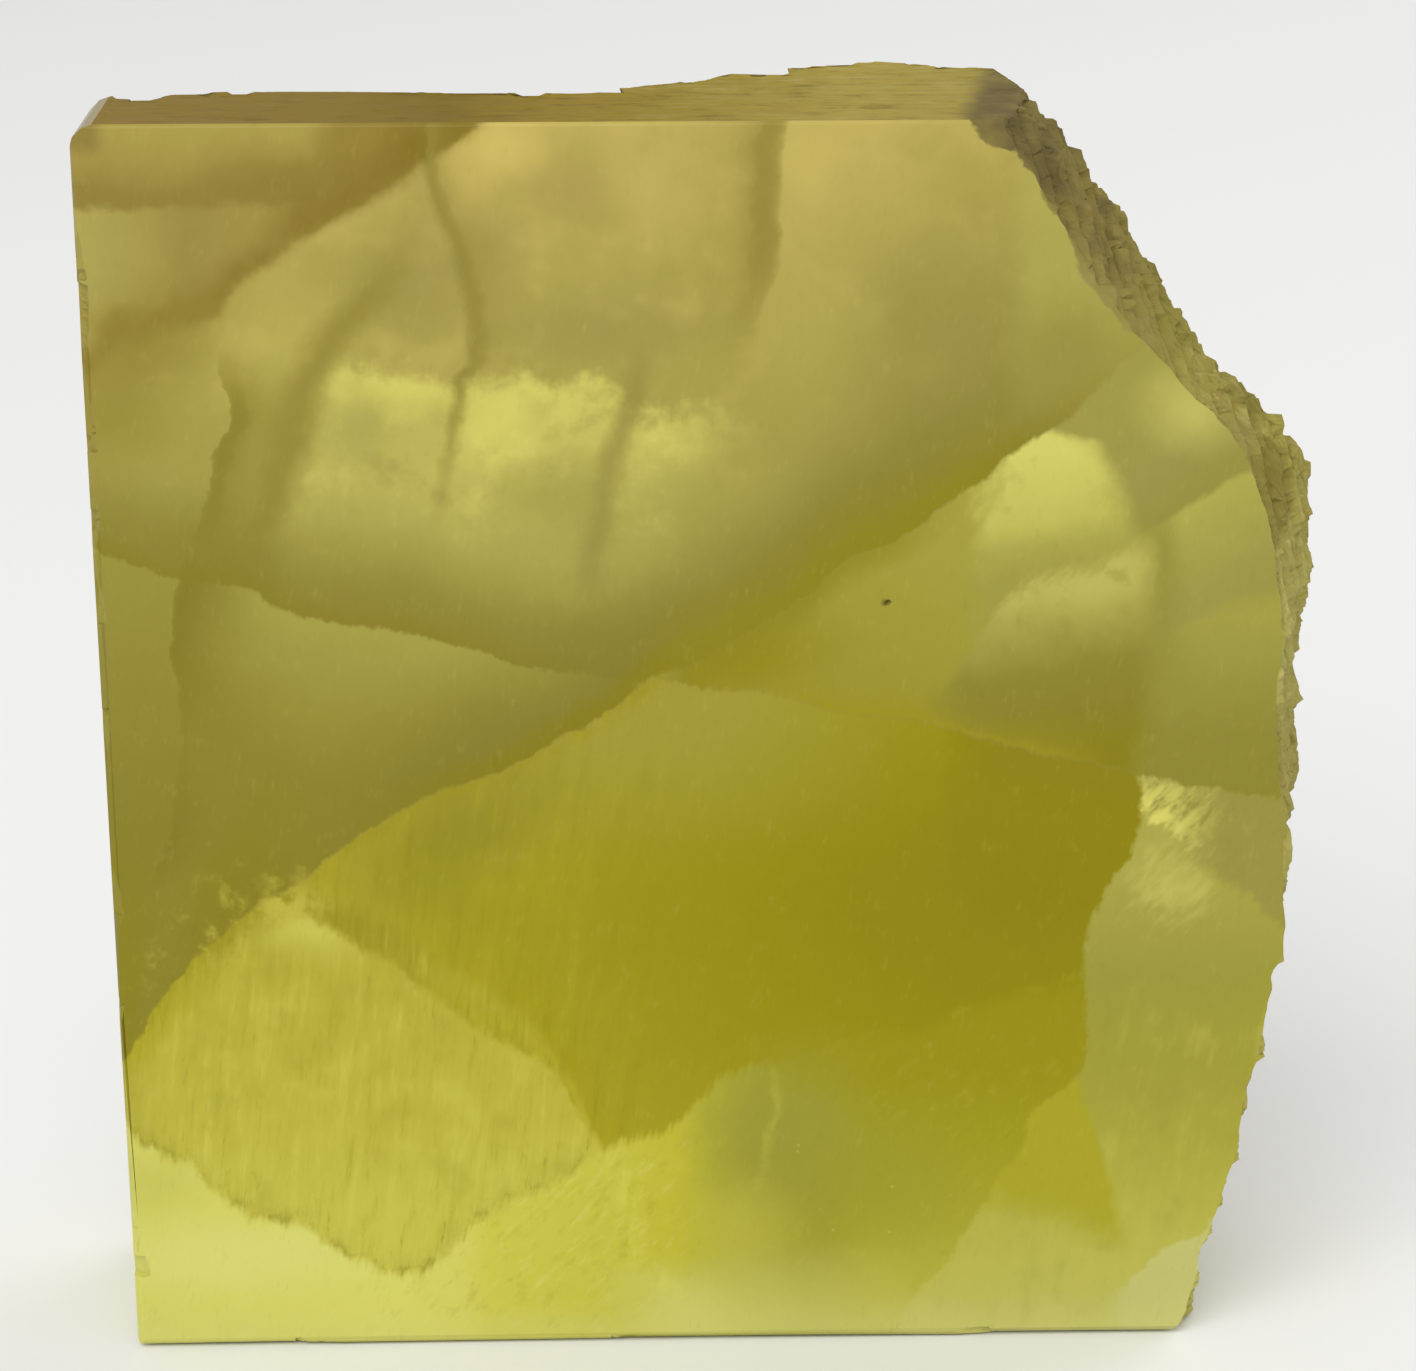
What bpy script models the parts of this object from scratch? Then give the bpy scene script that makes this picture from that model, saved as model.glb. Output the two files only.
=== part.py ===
"""A block of lemon calcite: broken from a coarse vein, sawn on its flats and polished.

The block stands on its sawn base. X runs across the polished face, Y is depth, with the
polished face towards -Y, and Z is up. It is one piece of stone, so it is one object.

It is made in the order the real one is: a rough lump with a broken back and a broken right
side, then the saw cuts, then the eased edges, and last the cleavage ledges that broke away.
Lengths are in millimetres until the last step, in a design frame whose origin lies on the
polished face, at the base.
"""

import math
import random

import bmesh
import bpy
from mathutils import Matrix, Vector, noise

MM = 0.001
NAME = "lemon_calcite_block"

# The sawn flats. The top cut falls slightly to the right.
HEIGHT = 117.2
LEFT = -55.0
TOP_TILT_DEG = 0.5
SAW_MARGIN = 6.0
EASED_EDGE = 0.9
WORN_CORNER = 2.4
EASED_STEPS = 3

# The broken right side, as (x, z) where it meets the polished face, base to top: up the
# flank, round the shoulder, and along the chamfer to the top cut.
FLANK = [
    (42.6, -6.0),
    (44.4, 0.8),
    (45.8, 7.0),
    (47.4, 12.0),
    (49.8, 23.3),
    (51.2, 30.5),
    (52.7, 39.0),
    (52.2, 48.0),
    (51.0, 60.0),
    (51.2, 70.0),
    (50.6, 77.0),
    (48.6, 83.3),
    (45.6, 88.4),
    (42.6, 91.6),
    (38.4, 96.8),
    (34.6, 100.6),
    (31.6, 105.6),
    (28.6, 110.4),
    (26.8, 113.6),
    (23.6, 116.6),
    (17.5, 122.5),
]
# How far the right side stands out past that line by the time it nears the back, by height.
FLARE = [
    (-6.0, -1.5),
    (20.0, -0.8),
    (46.0, 0.0),
    (58.0, 2.4),
    (66.0, 3.2),
    (80.0, 2.4),
    (91.0, 3.0),
    (100.0, 3.4),
    (111.0, 6.0),
    (122.5, 4.2),
]

# Thickness behind the polished face, left to right: along the top cut, and in the body.
TOP_THICKNESS = [
    (-62.0, 12.0),
    (-50.0, 13.6),
    (-40.0, 14.4),
    (-32.0, 20.6),
    (-24.0, 14.8),
    (-12.0, 13.6),
    (-2.0, 18.0),
    (9.0, 26.4),
    (26.0, 25.6),
    (60.0, 24.0),
]
BODY_THICKNESS = [(-62.0, 24.0), (-40.0, 28.0), (-10.0, 31.5), (20.0, 32.0), (45.0, 29.0), (60.0, 27.0)]
TOP_THINS_FROM = 74.0
BACK_CORNER = 10.0
BACK_CORNER_DROP = 4.0
FLARE_IS_FULL_AT = 0.8
FLARE_HUGS_SIDE = 8

# The rough lump's grid, and the broken facets on it: their size, step and tilt.
COLUMNS, ROWS, LAYERS = 42, 50, 13
CHIPS = [(17.0, 0.9, 2.4), (7.5, 0.3, 1.1)]
SWELL_SIZE, SWELL_HEIGHT = 36.0, 1.6
CHIP_SEED = 91.7
CALM_EDGE, CALM_SHARE = 8.0, 0.35

# Calcite parts along three sets of planes whose normals stand 44.6 degrees off its own axis.
CRYSTAL_AXIS = Vector((0.50, 0.66, 0.56)).normalized()
CLEAVAGE_OFF_AXIS = math.radians(44.6)
# Ledges, as (how many, shortest and longest side, least and most depth).
BACK_LEDGES = [(10, 30.0, 70.0, 0.4, 4.2), (10, 12.0, 26.0, 0.6, 1.6)]
SIDE_LEDGES = [(8, 10.0, 26.0, 0.8, 2.0)]
# Back ledges start within this width and this far from base and top; side ledges start
# within this stretch of the flank, and this share of the way back.
BACK_LEDGE_SPAN, BACK_LEDGE_MARGIN = (-50.0, 46.0), 6.0
SIDE_LEDGE_SPAN, SIDE_LEDGE_BACK = (0.12, 0.9), (0.35, 0.9)
FLANK_IS_WIDEST_AT = 52.0
LEDGE_REACH = 30.0
LEDGE_SEED = 40


def clear_scene():
    for obj in list(bpy.data.objects):
        bpy.data.objects.remove(obj)


def eased(share):
    share = min(1.0, max(0.0, share))
    return share * share * (3.0 - 2.0 * share)


def along(table, at):
    """The value of a table of (position, value) pairs at a position, eased between pairs."""
    if at <= table[0][0]:
        return table[0][1]
    for (start, first), (end, second) in zip(table, table[1:]):
        if at <= end:
            return first + (second - first) * eased((at - start) / (end - start))
    return table[-1][1]


def spread_along(outline, count):
    """Points spread evenly along an outline, each with its outward normal."""
    corners = [Vector(point) for point in outline]
    runs = [b - a for a, b in zip(corners, corners[1:])]
    total = sum(run.length for run in runs)
    spread = []
    part, passed = 0, 0.0
    for step in range(count):
        reach = total * step / (count - 1)
        while part < len(runs) - 1 and passed + runs[part].length < reach:
            passed += runs[part].length
            part += 1
        run = runs[part]
        point = corners[part] + run * ((reach - passed) / run.length)
        spread.append((point, Vector((run.y, -run.x)).normalized()))
    return spread


def thickness(x, z):
    """How deep the stone is behind the polished face at (x, z)."""
    body, top = along(BODY_THICKNESS, x), along(TOP_THICKNESS, x)
    return body + (top - body) * eased((z - TOP_THINS_FROM) / (HEIGHT - TOP_THINS_FROM))


def chip(place, size, lift, tilt):
    """Height of the broken facet that holds this place: a tilted flat, a step off the next."""
    scaled = place / size
    seed = noise.voronoi(scaled)[1][0]
    draw = noise.cell_vector(seed * CHIP_SEED) * 2.0 - Vector((1.0, 1.0, 1.0))
    return lift * draw.z + tilt * (scaled - seed).dot(draw)


def roughness(place):
    """How far the broken surface stands out here; it is calmer beside the polished face."""
    height = noise.fractal(place / SWELL_SIZE, 1.0, 2.0, 3) * SWELL_HEIGHT
    height += sum(chip(place, *kind) for kind in CHIPS)
    return height * (CALM_SHARE + (1.0 - CALM_SHARE) * eased(place.y / CALM_EDGE))


def grid_box():
    """A unit cube centred on the origin, cut into the lump's columns, layers and rows."""
    box = bmesh.new()
    bmesh.ops.create_cube(box, size=1.0)
    for axis, cuts in enumerate((COLUMNS, LAYERS, ROWS)):
        across = [e for e in box.edges if abs(e.verts[1].co[axis] - e.verts[0].co[axis]) > 0.5]
        bmesh.ops.subdivide_edges(box, edges=across, cuts=cuts - 1, use_grid_fill=True)
    return box


def rough_lump():
    """The stone as it was broken out: the grid drawn to the outline, then chipped."""
    flank = spread_along(FLANK, ROWS + 1)
    low, high = FLANK[0][1], FLANK[-1][1]
    lump = grid_box()
    for vert in lump.verts:
        u, v, w = (vert.co + Vector((0.5, 0.5, 0.5)))[:]
        edge, outward = flank[round(w * ROWS)]
        left = Vector((LEFT - SAW_MARGIN, low + (high - low) * w))
        place = left.lerp(edge, u)
        depth = thickness(place.x, place.y)
        from_corner = (edge - place).length / BACK_CORNER
        depth -= BACK_CORNER_DROP * max(0.0, 1.0 - from_corner) ** 2
        place += outward * along(FLARE, edge.y) * eased(v / FLARE_IS_FULL_AT) * u**FLARE_HUGS_SIDE
        vert.co = Vector((place.x, -SAW_MARGIN + (depth + SAW_MARGIN) * v, place.y))
    lump.normal_update()
    offsets = [(vert, vert.normal * roughness(vert.co)) for vert in lump.verts]
    for vert, offset in offsets:
        vert.co += offset
    return lump


def cut(stone, point, facing):
    """Saws off everything beyond a plane and closes the stone with one flat face."""
    parts = stone.verts[:] + stone.edges[:] + stone.faces[:]
    done = bmesh.ops.bisect_plane(
        stone, geom=parts, dist=1e-4, plane_co=point, plane_no=facing, clear_outer=True
    )
    rim = [part for part in done["geom_cut"] if isinstance(part, bmesh.types.BMEdge)]
    bmesh.ops.holes_fill(stone, edges=rim, sides=0)


def saw_planes():
    """The flats as (point, facing): polished face, base, top, and left side."""
    tilt = math.radians(TOP_TILT_DEG)
    front = (Vector((0.0, 0.0, 0.0)), Vector((0.0, -1.0, 0.0)))
    base = (Vector((0.0, 0.0, 0.0)), Vector((0.0, 0.0, -1.0)))
    top = (Vector((LEFT, 0.0, HEIGHT)), Vector((math.sin(tilt), 0.0, math.cos(tilt))))
    left = (Vector((LEFT, 0.0, 0.0)), Vector((-1.0, 0.0, 0.0)))
    return front, base, top, left


def edge_point(first, second):
    """A point on the line where two flats meet."""
    (p1, n1), (p2, n2) = first, second
    run = n1.cross(n2)
    parts = n2.cross(run) * p1.dot(n1) + run.cross(n1) * p2.dot(n2)
    return parts / run.length_squared


def ease(stone, first, second, width):
    """Grinds the edge between two flats to a narrow round, one small flat at a time."""
    cosine = first[1].dot(second[1])
    centre = edge_point(first, second) - (first[1] + second[1]) * (width / (1.0 + cosine))
    for step in range(1, EASED_STEPS + 1):
        share = step / (EASED_STEPS + 1)
        facing = (first[1] * (1.0 - share) + second[1] * share).normalized()
        cut(stone, centre + facing * width, facing)


def sawn_block():
    stone = rough_lump()
    front, base, top, left = saw_planes()
    for plane in (front, base, top, left):
        cut(stone, *plane)
    ease(stone, front, left, EASED_EDGE)
    ease(stone, front, base, EASED_EDGE)
    ease(stone, left, base, EASED_EDGE)
    ease(stone, left, top, WORN_CORNER)
    ease(stone, front, top, EASED_EDGE * 0.4)
    bmesh.ops.dissolve_degenerate(stone, dist=1e-3, edges=stone.edges[:])
    bmesh.ops.triangulate(stone, faces=stone.faces[:])
    return stone


def cleavage_normals():
    """The three cleavage normals; the first faces most nearly out of the back."""
    back = Vector((0.0, 1.0, 0.0))
    off = (back - CRYSTAL_AXIS * back.dot(CRYSTAL_AXIS)).normalized()
    first = CRYSTAL_AXIS * math.cos(CLEAVAGE_OFF_AXIS) + off * math.sin(CLEAVAGE_OFF_AXIS)
    turn = 2.0 * math.pi / 3.0
    return [Matrix.Rotation(turn * step, 3, CRYSTAL_AXIS) @ first for step in range(3)]


def ledge_cutter(number, corner, sides, normals):
    """A cleavage rhomb that takes a bite out of the stone. corner is its innermost corner,
    and sides are its lengths along its three edges, negative where one runs the other way."""
    n1, n2, n3 = normals
    edges = [n2.cross(n3).normalized(), n3.cross(n1).normalized(), n1.cross(n2).normalized()]
    rhomb = bmesh.new()
    bmesh.ops.create_cube(rhomb, size=1.0)
    for vert in rhomb.verts:
        shares = vert.co + Vector((0.5, 0.5, 0.5))
        runs = [edge * side * share for edge, side, share in zip(edges, sides, shares)]
        vert.co = (corner + runs[0] + runs[1] + runs[2]) * MM
    rhomb.normal_update()
    bmesh.ops.recalc_face_normals(rhomb, faces=rhomb.faces[:])
    mesh = bpy.data.meshes.new(f"ledge_{number}")
    rhomb.to_mesh(mesh)
    rhomb.free()
    cutter = bpy.data.objects.new(mesh.name, mesh)
    cutter.hide_render = True
    cutter.display_type = "WIRE"
    return cutter


def back_ledge(draw, runs, depth):
    """A ledge on the back, sunk a little below the highest stone it covers."""
    x = draw.uniform(*BACK_LEDGE_SPAN)
    z = draw.uniform(BACK_LEDGE_MARGIN, HEIGHT - BACK_LEDGE_MARGIN)
    along_x, along_z = runs[0] * draw.choice((-1.0, 1.0)), runs[1] * draw.choice((-1.0, 1.0))
    shares = (0.0, 0.5, 1.0)
    covered = [(x + along_x * a, z + along_z * b) for a in shares for b in shares]
    highest = max(thickness(*spot) for spot in covered)
    return Vector((x, highest - depth, z)), (LEDGE_REACH, along_z, along_x)


def side_ledge(draw, runs, depth):
    """A ledge on the right side, open to the back and away from the widest of the flank."""
    share = draw.uniform(*SIDE_LEDGE_SPAN)
    edge, outward = spread_along(FLANK, ROWS + 1)[round(share * ROWS)]
    way_back = draw.uniform(*SIDE_LEDGE_BACK)
    lean = along(FLARE, edge.y) * eased(way_back / FLARE_IS_FULL_AT)
    spot = edge + outward * (lean - depth)
    away = runs[1] if edge.y > FLANK_IS_WIDEST_AT else -runs[1]
    return Vector((spot.x, way_back * thickness(*edge), spot.y)), (LEDGE_REACH, away, LEDGE_REACH)


def ledges(draw):
    """Where each ledge's inner corner lies and how far it runs, as (corner, sides)."""
    for make, kinds in ((back_ledge, BACK_LEDGES), (side_ledge, SIDE_LEDGES)):
        for count, shortest, longest, least, most in kinds:
            for _ in range(count):
                runs = [draw.uniform(shortest, longest) for _ in range(2)]
                yield make(draw, runs, draw.uniform(least, most))


def break_ledges(block):
    """Takes the cleavage ledges out of the block's broken faces."""
    draw = random.Random(LEDGE_SEED)
    normals = cleavage_normals()
    cutters = bpy.data.collections.new("ledges")
    bpy.context.scene.collection.children.link(cutters)
    for number, (corner, sides) in enumerate(ledges(draw), 1):
        cutter = ledge_cutter(number, corner, sides, normals)
        cutter.parent = block
        cutters.objects.link(cutter)
    bites = block.modifiers.new("ledges", "BOOLEAN")
    bites.operand_type = "COLLECTION"
    bites.collection = cutters
    bites.solver = "EXACT"


def calcite():
    material = bpy.data.materials.new("lemon_calcite")
    material.use_nodes = True
    shader = material.node_tree.nodes["Principled BSDF"]
    shader.inputs["Base Color"].default_value = (0.42, 0.36, 0.07, 1.0)
    shader.inputs["Roughness"].default_value = 0.25
    shader.inputs["Metallic"].default_value = 0.0
    shader.inputs["IOR"].default_value = 1.6
    shader.inputs["Subsurface Weight"].default_value = 0.6
    shader.inputs["Subsurface Scale"].default_value = 0.01
    return material


def stone_object():
    stone = sawn_block()
    bmesh.ops.scale(stone, vec=(MM, MM, MM), verts=stone.verts[:])
    mesh = bpy.data.meshes.new(NAME)
    stone.to_mesh(mesh)
    stone.free()
    mesh.shade_smooth()
    mesh.set_sharp_from_angle(angle=math.radians(24.0))
    mesh.materials.append(calcite())
    block = bpy.data.objects.new(NAME, mesh)
    bpy.context.scene.collection.objects.link(block)
    return block


def centre_footprint(block):
    """Stands the finished block with the middle of its footprint on the world's origin."""
    finished = block.evaluated_get(bpy.context.evaluated_depsgraph_get()).data
    xs = [vert.co.x for vert in finished.vertices]
    ys = [vert.co.y for vert in finished.vertices]
    block.location = (-(min(xs) + max(xs)) / 2.0, -(min(ys) + max(ys)) / 2.0, 0.0)


clear_scene()
lemon_calcite = stone_object()
break_ledges(lemon_calcite)
centre_footprint(lemon_calcite)
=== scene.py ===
import math

import bmesh
import bpy
from mathutils import Euler, Matrix, Vector, noise


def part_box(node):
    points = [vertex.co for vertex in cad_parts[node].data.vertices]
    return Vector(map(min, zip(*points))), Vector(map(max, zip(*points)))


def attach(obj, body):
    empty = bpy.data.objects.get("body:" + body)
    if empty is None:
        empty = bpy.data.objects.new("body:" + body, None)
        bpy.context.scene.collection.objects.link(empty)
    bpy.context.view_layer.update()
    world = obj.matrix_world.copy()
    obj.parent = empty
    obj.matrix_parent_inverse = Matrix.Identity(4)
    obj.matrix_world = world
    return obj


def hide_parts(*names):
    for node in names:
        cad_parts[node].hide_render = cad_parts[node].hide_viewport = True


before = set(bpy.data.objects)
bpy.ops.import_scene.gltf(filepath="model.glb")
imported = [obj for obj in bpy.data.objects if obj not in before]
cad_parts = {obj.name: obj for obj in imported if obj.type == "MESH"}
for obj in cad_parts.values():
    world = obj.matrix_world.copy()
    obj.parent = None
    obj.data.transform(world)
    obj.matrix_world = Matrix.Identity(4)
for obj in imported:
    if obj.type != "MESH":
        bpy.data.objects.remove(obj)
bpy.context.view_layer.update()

MM = 0.001


# Where the stone stands. Its design lines are measured in millimetres from the middle of the
# polished face, at the base: X across the face, Y back into the stone, and Z up.

stone_low, stone_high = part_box("lemon_calcite_block")
LEFT_FLAT = -55.0
ORIGIN = Vector((stone_low.x - LEFT_FLAT * MM, stone_low.y, stone_low.z))


def placed(x, y, z):
    """A design point, in the world."""
    return ORIGIN + Vector((x, y, z)) * MM


def to_design(point):
    return (point - ORIGIN) / MM


# The camera. It looks a little down on the polished face from close by, so that a narrow strip
# of the sawn top shows, and it is rolled very slightly.

AIM = (0.0, 0.0, 65.2)
PITCH = math.radians(18.0)
ROLL = math.radians(-0.8)
STAND_OFF = 407.0
FOCAL, SENSOR = 114.4, 36.0
NEAREST = 0.01

camera_data = bpy.data.cameras.new("camera")
camera_data.lens = FOCAL
camera_data.sensor_width = SENSOR
camera_data.clip_start = NEAREST
camera = bpy.data.objects.new("camera", camera_data)
back_off = Vector((0.0, -math.cos(PITCH), math.sin(PITCH))) * STAND_OFF * MM
camera.matrix_world = (
    Matrix.Translation(placed(*AIM) + back_off)
    @ Euler((math.pi / 2 - PITCH, 0.0, 0.0)).to_matrix().to_4x4()
    @ Matrix.Rotation(ROLL, 4, "Z")
)
bpy.context.scene.collection.objects.link(camera)
bpy.context.scene.camera = camera


# The studio: a pale seamless floor, an even pale sky, one broad soft light high in front and a
# weak one behind that picks out the broken edges.

FLOOR_SIZE = 8.0
FLOOR_GAP = 0.0002
FLOOR_COLOUR = (0.86, 0.86, 0.85, 1.0)
FLOOR_ROUGHNESS = 0.9
FLOOR_SHINE = 0.1
SKY_STRENGTH = 0.62
SOFTBOXES = [
    ("front_softbox", (-0.45, -1.2, 1.35), 1.4, 19.5),
    ("back_softbox", (0.9, 0.7, 0.9), 1.0, 4.0),
]

floor_mesh = bmesh.new()
bmesh.ops.create_grid(floor_mesh, x_segments=1, y_segments=1, size=FLOOR_SIZE / 2)
floor_data = bpy.data.meshes.new("floor")
floor_mesh.to_mesh(floor_data)
floor_mesh.free()
floor_data.transform(Matrix.Translation((0.0, 0.0, stone_low.z - FLOOR_GAP)))
floor = bpy.data.objects.new("floor", floor_data)
bpy.context.scene.collection.objects.link(floor)
floor_finish = bpy.data.materials.new("pale_floor")
floor_finish.use_nodes = True
floor_shader = floor_finish.node_tree.nodes["Principled BSDF"]
floor_shader.inputs["Base Color"].default_value = FLOOR_COLOUR
floor_shader.inputs["Roughness"].default_value = FLOOR_ROUGHNESS
floor_shader.inputs["Specular IOR Level"].default_value = FLOOR_SHINE
floor_data.materials.append(floor_finish)

world = bpy.data.worlds.new("studio")
world.use_nodes = True
world.node_tree.nodes["Background"].inputs["Color"].default_value = (1.0, 1.0, 1.0, 1.0)
world.node_tree.nodes["Background"].inputs["Strength"].default_value = SKY_STRENGTH
bpy.context.scene.world = world

for name, stand, size, power in SOFTBOXES:
    light_data = bpy.data.lights.new(name, "AREA")
    light_data.size = size
    light_data.energy = power
    light = bpy.data.objects.new(name, light_data)
    light.location = stand
    light.rotation_euler = Vector(stand).to_track_quat("Z", "Y").to_euler()
    bpy.context.scene.collection.objects.link(light)
bpy.context.scene.view_settings.view_transform = "Standard"


# The stone's sawn flats. The front, left side and base were sawn and polished. The top was only
# sawn, so the saw's fine lines are left on it. Small chips have come off the left and base edges,
# and a tiny pit lies open in the polished face.

TOP_AT_LEFT = 117.2
TOP_TILT = math.radians(0.5)
TOP_FACING = Vector((math.sin(TOP_TILT), 0.0, math.cos(TOP_TILT)))
FLAT_FACINGS = [Vector((0, -1, 0)), Vector((0, 0, -1)), Vector((-1, 0, 0)), TOP_FACING]
ON_FLAT = 0.03
SAME_POINT = 2e-6
SAME_PLANE = math.radians(0.5)
FACING_IT = 0.999
ROUND_WIDTH = 1.1
WORN_CORNER_WIDTH = 2.6
# Chips on the edges of the polished face, as (edge, place along it, length, depth, lean).
CHIPS = [
    ("left", 106.0, 5.0, 0.16, 0.05), ("left", 99.4, 7.0, 0.30, -0.05), ("left", 90.6, 5.5, 0.24, 0.06),
    ("left", 80.3, 4.2, 0.26, -0.07), ("left", 73.4, 3.4, 0.22, 0.08), ("left", 61.5, 3.8, 0.18, -0.06),
    ("left", 46.0, 4.5, 0.20, 0.06), ("left", 33.8, 3.0, 0.22, -0.09), ("left", 8.2, 2.0, 0.62, 0.16),
    ("left", 11.6, 1.6, 0.24, -0.10), ("base", -38.0, 4.0, 0.20, 0.05), ("base", 24.5, 3.0, 0.24, -0.08),
    ("base", -9.0, 2.2, 0.16, 0.07),
]
CHIP_WIDTH = 6.0
CHIP_TWIST = 0.12
# How far the worn round already sets back the edge that a chip is measured from.
CHIP_EASE = ROUND_WIDTH * 0.25
# How broken a chip's faces look: they are clean, with little of the break's skin.
FRESH_CHIP = 0.2
PIT_PLACE, PIT_RADIUS = (16.3, 0.05, 72.8), 0.22


def flat_distances(point):
    """How far a design point lies inside the front, base, left and top flats."""
    top = (TOP_AT_LEFT - point.z) * math.cos(TOP_TILT) - (point.x - LEFT_FLAT) * math.sin(TOP_TILT)
    return point.y, point.z, point.x - LEFT_FLAT, top


def is_sawn(points):
    """True for a face on a flat, or on the narrow worn round between two flats."""
    distances = [flat_distances(point) for point in points]
    for axis in range(4):
        if max(distance[axis] for distance in distances) < ON_FLAT:
            return True
    middle = [sum(values) / len(values) for values in zip(*distances)]
    corner = middle[2] < WORN_CORNER_WIDTH and middle[3] < WORN_CORNER_WIDTH
    return corner or sorted(middle)[1] < ROUND_WIDTH


def chip_place(edge, along):
    """The point on an edge, the way out of the stone there, and the way along the edge."""
    if edge == "left":
        return Vector((LEFT_FLAT, 0.0, along)), Vector((-1, -1, 0)), Vector((0, 0, 1))
    return Vector((along, 0.0, 0.0)), Vector((0, -1, -1)), Vector((1, 0, 0))


stone = bmesh.new()
stone.from_mesh(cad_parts["lemon_calcite_block"].data)
bmesh.ops.remove_doubles(stone, verts=stone.verts[:], dist=SAME_POINT)
broken_layer = stone.faces.layers.float.new("broken")
for face in stone.faces:
    face[broken_layer] = 0.0 if is_sawn([to_design(vert.co) for vert in face.verts]) else 1.0
bmesh.ops.dissolve_limit(
    stone,
    angle_limit=SAME_PLANE,
    use_dissolve_boundaries=False,
    verts=[],
    edges=[edge for edge in stone.edges if all(not face[broken_layer] for face in edge.link_faces)],
    delimit=set(),
)
stone_data = bpy.data.meshes.new("calcite_stone")
stone.to_mesh(stone_data)
stone.free()
calcite_stone = bpy.data.objects.new("calcite_stone", stone_data)
bpy.context.scene.collection.objects.link(calcite_stone)

knocks = bmesh.new()
knocked_layer = knocks.faces.layers.float.new("broken")
for edge, along, length, depth, lean in CHIPS:
    point, outward, run = chip_place(edge, along)
    outward.normalize()
    turn = Matrix((outward, run.cross(outward), run)).transposed().to_4x4()
    made = bmesh.ops.create_cube(knocks, size=1.0)["verts"]
    bmesh.ops.scale(knocks, vec=(CHIP_WIDTH, CHIP_WIDTH, length), verts=made)
    bmesh.ops.translate(knocks, vec=(CHIP_WIDTH / 2 - depth - CHIP_EASE, 0.0, 0.0), verts=made)
    twist = Matrix.Rotation(math.copysign(CHIP_TWIST, lean), 4, "Z")
    knock = Matrix.Translation(point) @ turn @ Matrix.Rotation(lean, 4, "Y") @ twist
    bmesh.ops.transform(knocks, matrix=Matrix.Translation(ORIGIN) @ Matrix.Scale(MM, 4) @ knock, verts=made)
pit = bmesh.ops.create_icosphere(knocks, subdivisions=2, radius=PIT_RADIUS * MM)["verts"]
bmesh.ops.translate(knocks, vec=placed(*PIT_PLACE), verts=pit)
for face in knocks.faces:
    face[knocked_layer] = FRESH_CHIP
knock_data = bpy.data.meshes.new("chip_cutters")
knocks.to_mesh(knock_data)
knocks.free()
chip_cutters = bpy.data.objects.new("chip_cutters", knock_data)
bpy.context.scene.collection.objects.link(chip_cutters)
knocked_off = calcite_stone.modifiers.new("chips", "BOOLEAN")
knocked_off.operation = "DIFFERENCE"
knocked_off.object = chip_cutters
chipped = calcite_stone.evaluated_get(bpy.context.evaluated_depsgraph_get())
stone = bmesh.new()
stone.from_mesh(chipped.to_mesh())
calcite_stone.modifiers.clear()
bpy.data.objects.remove(chip_cutters)


# The stone's break. Its back and right side broke along the crystal's cleavage: small steps, each
# with its own tilt, on flat cleavage faces that stay nearly smooth. The top keeps its saw lines.

BREAK_GRAIN = 0.75
BREAK_PASSES = 4
# Terraces that the break steps by along its cleavage planes, as (height, share of the way).
TERRACES = [(1.8, 0.5), (0.7, 0.7)]
# Small flakes on them, as (size, stretch along Z, step, tilt).
FLAKES = [(4.2, 1.5, 0.16, 0.5), (1.6, 1.7, 0.06, 0.2)]
FINE_SWELL = 0.08
FINE_SWELL_SIZE = 6.0
STEP_SEED = 57.3
CLEAVED_SHARE = 0.22
CRYSTAL_AXIS = Vector((0.50, 0.66, 0.56)).normalized()
CLEAVAGE_OFF_AXIS = math.radians(44.6)
SAW_LINE_GAPS = (1.3, 0.7)
SAW_LINE_DEPTH = 0.10
SAW_LINE_STRETCH = (0.09, 0.9)
ON_CUT = 1e-7
TOP_PIT_DEPTH = 0.35
TOP_PIT_SIZE = (2.6, 1.0)
TOP_PIT_REACH = 0.45
TOP_UNPITTED = 0.72
SHARP = math.radians(20.0)


def cleavage_normals():
    back = Vector((0.0, 1.0, 0.0))
    off = (back - CRYSTAL_AXIS * back.dot(CRYSTAL_AXIS)).normalized()
    first = CRYSTAL_AXIS * math.cos(CLEAVAGE_OFF_AXIS) + off * math.sin(CLEAVAGE_OFF_AXIS)
    turn = 2.0 * math.pi / 3.0
    return [Matrix.Rotation(turn * step, 3, CRYSTAL_AXIS) @ first for step in range(3)]


CLEAVAGES = cleavage_normals()


def fine_break(point):
    """How far the fine break stands out at a design point."""
    height = noise.fractal(point / FINE_SWELL_SIZE, 1.0, 2.0, 2) * FINE_SWELL
    for size, stretch, step, tilt in FLAKES:
        scaled = Vector((point.x, point.y, point.z / stretch)) / size
        seed = noise.voronoi(scaled)[1][0]
        draw = noise.cell_vector(seed * STEP_SEED) * 2.0 - Vector((1.0, 1.0, 1.0))
        height += step * draw.z + tilt * (scaled - seed).dot(draw)
    return height


def to_terrace(point, normal):
    """The way from a design point to a terrace of the cleavage that the break faces most there."""
    facing = max([*CLEAVAGES, *(-side for side in CLEAVAGES)], key=normal.dot)
    way = Vector((0.0, 0.0, 0.0))
    for height, share in TERRACES:
        along = (point + way).dot(facing)
        way += facing * (round(along / height) * height - along) * share
    return way


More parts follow.
